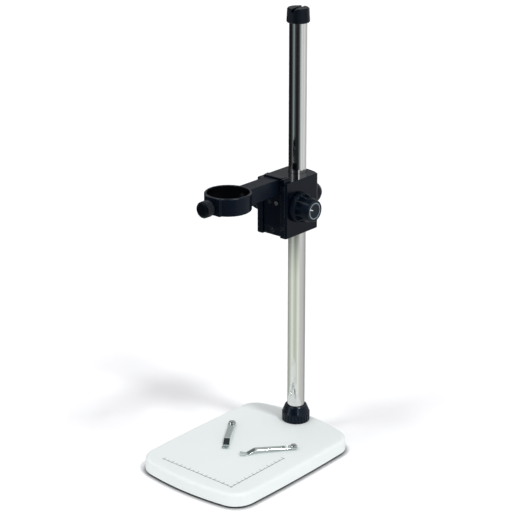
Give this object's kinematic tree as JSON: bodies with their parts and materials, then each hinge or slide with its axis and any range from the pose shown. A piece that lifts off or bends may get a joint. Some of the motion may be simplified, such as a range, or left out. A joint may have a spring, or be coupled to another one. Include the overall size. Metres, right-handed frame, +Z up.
{
  "type": "retort stand",
  "caption": "Pillar stand for a handheld digital microscope: white base plate with stage clips, polished column, rack-and-pinion focusing carriage, and an arm ending in a clamping ring.",
  "frame": {"origin": "on the table top, under the middle of the stand (the middle of the plate in x, half way from its front edge to the end of the clamp knob in y); the column axis is at x -1.3 mm, y +64.0 mm", "axes": "+Z up; the arm and ring point to -Y; the focus knobs lie along X; the column clamp knob is on +Y"},
  "size_m": [0.1228, 0.182, 0.4054],
  "materials": {
    "base_white": "satin white powder coat",
    "foot_rubber": "matte",
    "column_polished": "polished",
    "steel": "machined",
    "chrome": "bright plated",
    "black_plastic": "satin black",
    "black_anodised": "satin black anodised",
    "brass": "machined",
    "nylon": "natural"
  },
  "bodies": {
    "base": {"base_plate": "base_white", "foot_front_left": "foot_rubber", "foot_front_right": "foot_rubber", "foot_rear_left": "foot_rubber", "foot_rear_right": "foot_rubber", "column_tube": "column_polished", "column_plug": "steel", "column_bolt": "steel", "column_washer": "steel", "top_cap": "black_plastic", "clip_washer_left": "chrome", "clip_washer_right": "chrome", "clip_screw_left": "chrome", "clip_screw_right": "chrome"},
    "collar": {"collar_nut": "black_plastic"},
    "liner": {"bore_bush_lower": "nylon", "bore_bush_upper": "nylon"},
    "carriage": {"carriage_housing": "black_anodised", "gib_rail": "black_anodised", "gib_screw_upper": "steel", "gib_screw_lower": "steel", "stop_plate": "black_anodised", "stop_plate_screw": "steel", "shaft_bush_left": "brass", "shaft_bush_right": "brass"},
    "slide_assembly": {"slide": "black_anodised", "rack": "steel", "rack_screw_left": "chrome", "rack_screw_right": "chrome", "arm_screw_upper": "steel", "arm_screw_lower": "steel", "support_arm": "black_anodised", "ring_screw": "steel", "ring_holder": "black_anodised"},
    "focus_knobs": {"pinion_shaft": "steel", "pinion_gear": "brass", "focus_knob_left": "black_plastic", "focus_knob_right": "black_plastic", "knob_trim_ring_left": "chrome", "knob_trim_ring_right": "chrome", "knob_face_left": "black_plastic", "knob_face_right": "black_plastic"},
    "clamp_tip": {"clamp_pad": "nylon"},
    "clamp_handle": {"clamp_screw": "steel", "clamp_knob": "black_plastic"},
    "thumb_tip_body": {"thumb_tip": "brass"},
    "thumb_handle": {"thumb_screw": "chrome", "thumb_knob": "black_anodised"},
    "clip_left": {"stage_clip_left": "chrome"},
    "clip_right": {"stage_clip_right": "chrome"}
  },
  "joints": [
    {"name": "collar_turn", "type": "hinge", "parent": "base", "child": "collar", "pos_m": [-0.0013, 0.064, 0.0219], "axis": [0, 0, 1], "continuous": true},
    {"name": "carriage_height", "type": "slide", "parent": "base", "child": "liner", "axis": [0, 0, 1], "range_m": [-0.168, 0.13]},
    {"name": "carriage_swivel", "type": "hinge", "parent": "liner", "child": "carriage", "pos_m": [-0.0013, 0.064, 0.2309], "axis": [0, 0, 1], "continuous": true},
    {"name": "focus_travel", "type": "slide", "parent": "carriage", "child": "slide_assembly", "axis": [0, 0, 1], "range_m": [0, 0.013]},
    {"name": "pinion_spin", "type": "hinge", "parent": "carriage", "child": "focus_knobs", "pos_m": [-0.0013, 0.0454, 0.2301], "axis": [1, 0, 0], "range_deg": [-136, 1]},
    {"name": "clamp_advance", "type": "slide", "parent": "carriage", "child": "clamp_tip", "axis": [0, 1, 0], "range_m": [0, 0.0015]},
    {"name": "clamp_turn", "type": "hinge", "parent": "clamp_tip", "child": "clamp_handle", "pos_m": [-0.0013, 0.0835, 0.2309], "axis": [0, 1, 0], "range_deg": [-10, 550]},
    {"name": "thumb_advance", "type": "slide", "parent": "slide_assembly", "child": "thumb_tip_body", "axis": [0, 1, 0], "range_m": [0, 0.0032]},
    {"name": "thumb_turn", "type": "hinge", "parent": "thumb_tip_body", "child": "thumb_handle", "pos_m": [-0.0013, -0.0577, 0.2506], "axis": [0, 1, 0], "range_deg": [-10, 1450]},
    {"name": "clip_left_swivel", "type": "hinge", "parent": "base", "child": "clip_left", "pos_m": [-0.0369, 0.0149, 0.0159], "axis": [0, 0, 1], "range_deg": [-170, 10]},
    {"name": "clip_right_swivel", "type": "hinge", "parent": "base", "child": "clip_right", "pos_m": [0.0369, 0.0149, 0.0159], "axis": [0, 0, 1], "range_deg": [-10, 170]}
  ],
  "couplings": [
    {"joint": "pinion_spin", "follows": "focus_travel", "rad_per_m": -181.82},
    {"joint": "clamp_turn", "follows": "clamp_advance", "rad_per_m": 6283.2},
    {"joint": "thumb_turn", "follows": "thumb_advance", "rad_per_m": 7854}
  ]
}
